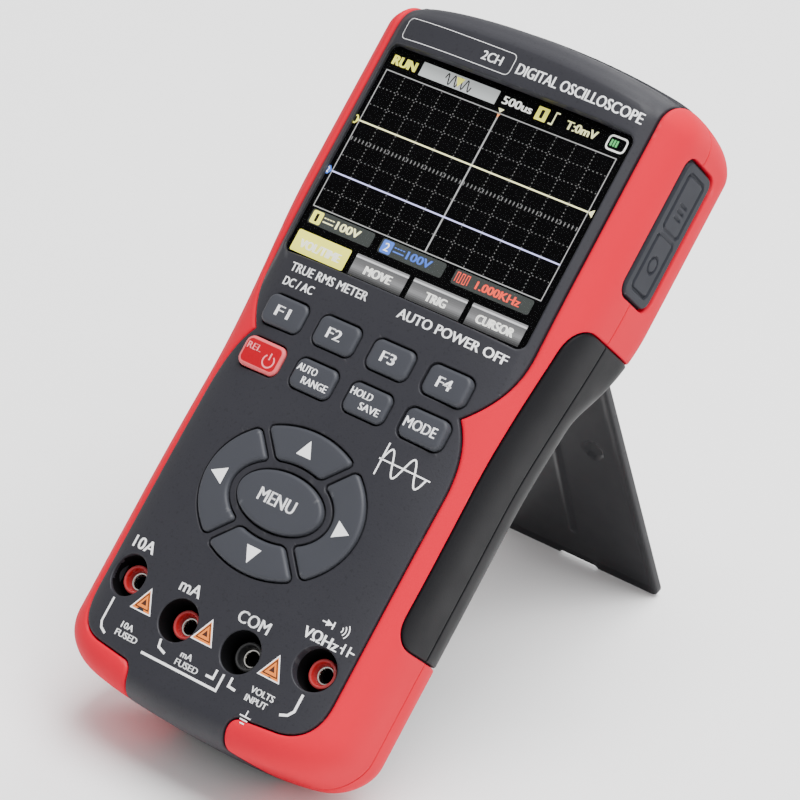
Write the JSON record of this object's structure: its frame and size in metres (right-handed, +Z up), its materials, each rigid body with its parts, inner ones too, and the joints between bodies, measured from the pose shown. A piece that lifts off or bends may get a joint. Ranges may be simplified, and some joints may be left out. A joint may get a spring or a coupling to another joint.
{
  "type": "handheld oscilloscope multimeter",
  "caption": "Handheld oscilloscope and multimeter in red bumpers, leaning back on its open kickstand, with a colour screen, rubber keys and test-lead jacks.",
  "frame": {"origin": "middle of the ground footprint at rest, on the surface that the bottom edge and the kickstand's foot stand on", "axes": "+Z up, +X to the right for a reader of the screen, and the screen and keys face -Y and up"},
  "size_m": [0.0886, 0.162, 0.1569],
  "materials": {
    "case_plastic": "charcoal, fine moulded texture",
    "bumper_rubber": "satin coral red, soft touch",
    "grip_rubber": "matte black, soft touch",
    "key_rubber": "matte dark grey silicone",
    "power_key_rubber": "satin red silicone",
    "membrane_rubber": "matte grey silicone",
    "lens": "clear, with a thin dark border",
    "display_frame": "black display behind the lens",
    "circuit_board": "green solder resist",
    "red_jack_plastic": "moulded red insulator",
    "black_jack_plastic": "moulded black insulator",
    "buzzer_plastic": "moulded black",
    "nickel": "bright nickel plate",
    "fuse_ceramic": "glazed white ceramic",
    "cell_wrap": "blue shrink wrap",
    "stand_plastic": "moulded near-black",
    "flap_rubber": "matte slate grey, moulded outlines",
    "steel": "plated steel"
  },
  "bodies": {
    "case": {"front_case": "case_plastic", "rear_case": "case_plastic", "battery_door": "case_plastic", "battery_door_screw": "steel", "battery_cell": "cell_wrap", "front_bumper_left": "bumper_rubber", "front_bumper_right": "bumper_rubber", "rear_bumper_upper_left": "bumper_rubber", "rear_bumper_upper_right": "bumper_rubber", "rear_bumper_lower_left": "bumper_rubber", "rear_bumper_lower_right": "bumper_rubber", "front_grip_left": "grip_rubber", "front_grip_right": "grip_rubber", "rear_grip_left": "grip_rubber", "rear_grip_right": "grip_rubber", "lcd_lens": "lens", "lcd_module": "display_frame", "keypad_membrane": "membrane_rubber", "main_board": "circuit_board", "input_board": "circuit_board", "buzzer": "buzzer_plastic", "fuse_10a": "fuse_ceramic", "fuse_ma": "fuse_ceramic", "jack_10a": "red_jack_plastic", "jack_ma": "red_jack_plastic", "jack_com": "black_jack_plastic", "jack_volt": "red_jack_plastic", "contact_10a": "nickel", "contact_ma": "nickel", "contact_com": "nickel", "contact_volt": "nickel", "case_screw_upper_left": "steel", "case_screw_upper_right": "steel", "case_screw_lower_left": "steel", "case_screw_lower_right": "steel", "usb_socket": "steel", "signal_socket": "nickel", "scope_input_1": "nickel", "scope_input_2": "nickel", "kickstand_pin": "steel"},
    "kickstand": {"kickstand": "stand_plastic"},
    "port_flap": {"port_flap": "flap_rubber"},
    "key_f1": {"key_f1": "key_rubber"},
    "key_f2": {"key_f2": "key_rubber"},
    "key_f3": {"key_f3": "key_rubber"},
    "key_f4": {"key_f4": "key_rubber"},
    "key_power": {"key_power": "power_key_rubber"},
    "key_auto_range": {"key_auto_range": "key_rubber"},
    "key_hold": {"key_hold": "key_rubber"},
    "key_mode": {"key_mode": "key_rubber"},
    "key_up": {"key_up": "key_rubber"},
    "key_down": {"key_down": "key_rubber"},
    "key_left": {"key_left": "key_rubber"},
    "key_right": {"key_right": "key_rubber"},
    "key_menu": {"key_menu": "key_rubber"}
  },
  "joints": [
    {"name": "kickstand_hinge", "type": "hinge", "parent": "case", "child": "kickstand", "pos_m": [0, 0.03212, 0.10349], "axis": [1, 0, 0], "range_deg": [-63.8, 0]},
    {"name": "port_flap_hinge", "type": "hinge", "parent": "case", "child": "port_flap", "pos_m": [0.0442, 0.0335, 0.11863], "axis": [0, 0.632, 0.7749], "range_deg": [0, 110]},
    {"name": "key_f1_press", "type": "slide", "parent": "case", "child": "key_f1", "axis": [0, 0.7749, -0.632], "range_m": [0, 0.0008], "stiffness_N_per_m": 700},
    {"name": "key_f2_press", "type": "slide", "parent": "case", "child": "key_f2", "axis": [0, 0.7749, -0.632], "range_m": [0, 0.0008], "stiffness_N_per_m": 700},
    {"name": "key_f3_press", "type": "slide", "parent": "case", "child": "key_f3", "axis": [0, 0.7749, -0.632], "range_m": [0, 0.0008], "stiffness_N_per_m": 700},
    {"name": "key_f4_press", "type": "slide", "parent": "case", "child": "key_f4", "axis": [0, 0.7749, -0.632], "range_m": [0, 0.0008], "stiffness_N_per_m": 700},
    {"name": "key_power_press", "type": "slide", "parent": "case", "child": "key_power", "axis": [0, 0.7749, -0.632], "range_m": [0, 0.0008], "stiffness_N_per_m": 700},
    {"name": "key_auto_range_press", "type": "slide", "parent": "case", "child": "key_auto_range", "axis": [0, 0.7749, -0.632], "range_m": [0, 0.0008], "stiffness_N_per_m": 700},
    {"name": "key_hold_press", "type": "slide", "parent": "case", "child": "key_hold", "axis": [0, 0.7749, -0.632], "range_m": [0, 0.0008], "stiffness_N_per_m": 700},
    {"name": "key_mode_press", "type": "slide", "parent": "case", "child": "key_mode", "axis": [0, 0.7749, -0.632], "range_m": [0, 0.0008], "stiffness_N_per_m": 700},
    {"name": "key_up_press", "type": "slide", "parent": "case", "child": "key_up", "axis": [0, 0.7749, -0.632], "range_m": [0, 0.0008], "stiffness_N_per_m": 700},
    {"name": "key_down_press", "type": "slide", "parent": "case", "child": "key_down", "axis": [0, 0.7749, -0.632], "range_m": [0, 0.0008], "stiffness_N_per_m": 700},
    {"name": "key_left_press", "type": "slide", "parent": "case", "child": "key_left", "axis": [0, 0.7749, -0.632], "range_m": [0, 0.0008], "stiffness_N_per_m": 700},
    {"name": "key_right_press", "type": "slide", "parent": "case", "child": "key_right", "axis": [0, 0.7749, -0.632], "range_m": [0, 0.0008], "stiffness_N_per_m": 700},
    {"name": "key_menu_press", "type": "slide", "parent": "case", "child": "key_menu", "axis": [0, 0.7749, -0.632], "range_m": [0, 0.0008], "stiffness_N_per_m": 700}
  ]
}
